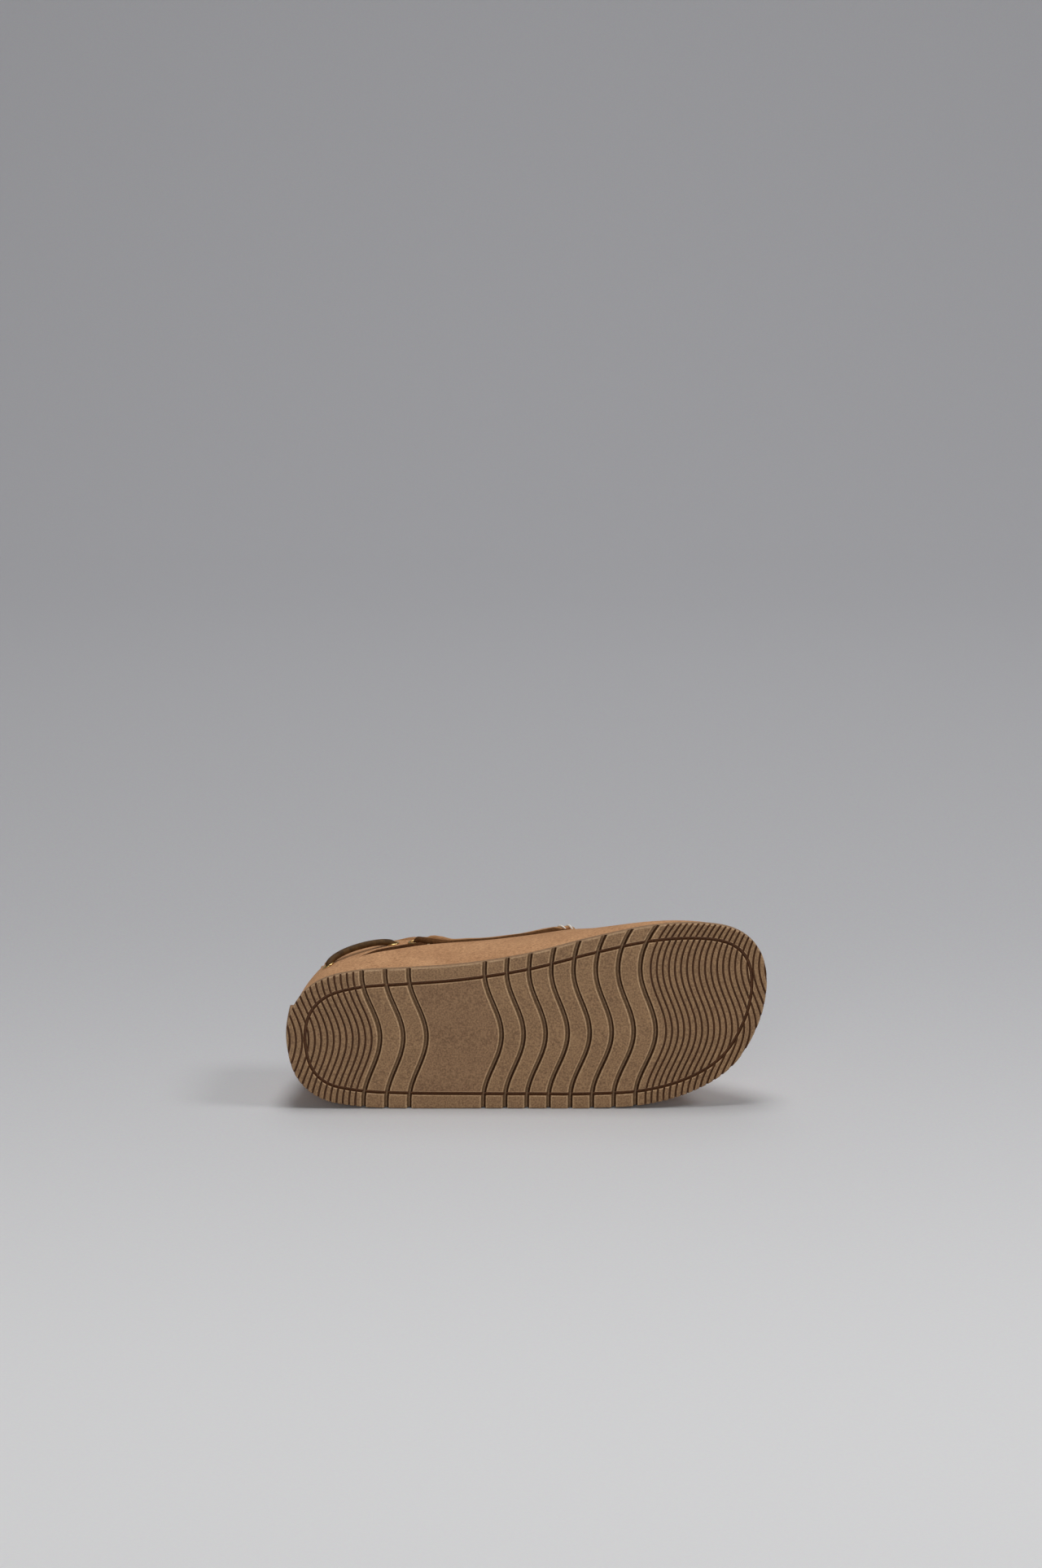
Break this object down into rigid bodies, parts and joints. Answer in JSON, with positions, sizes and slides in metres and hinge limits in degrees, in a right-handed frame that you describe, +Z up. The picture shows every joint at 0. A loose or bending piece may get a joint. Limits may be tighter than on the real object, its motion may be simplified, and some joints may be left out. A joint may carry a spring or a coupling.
{
  "type": "beaded loafer",
  "caption": "Left suede moccasin loafer lying on its outer side, with a beaded apron seam, a leather collar lace in brass eyelets and a wave-tread rubber sole.",
  "frame": {"origin": "centre of the bounding box at floor level, with the shoe lying on its outer side", "axes": "+X from heel to toe, +Y from the tread into the shoe, +Z up, towards the shoe's inner side"},
  "size_m": [0.2204, 0.0642, 0.0882],
  "materials": {
    "gum_rubber": "matt moulded brown gum rubber",
    "heel_rubber": "matt moulded brown gum rubber",
    "tan_suede": "tan suede with a short nap",
    "insole_suede": "smooth light brown lining leather",
    "white_beads": "glossy off-white beads over a rolled seam",
    "brown_leather": "dark brown round leather lace",
    "brass": "polished brass"
  },
  "bodies": {
    "root": {"outsole": "gum_rubber", "heel_tab": "heel_rubber", "upper": "tan_suede", "insole": "insole_suede", "beaded_seam": "white_beads", "lace_medial_back": "brown_leather", "lace_medial_side": "brown_leather", "lace_lateral_back": "brown_leather", "lace_lateral_side": "brown_leather", "eyelet_medial_heel": "brass", "eyelet_medial_quarter": "brass", "eyelet_medial_side": "brass", "eyelet_lateral_heel": "brass", "eyelet_lateral_quarter": "brass", "eyelet_lateral_side": "brass"}
  },
  "joints": []
}
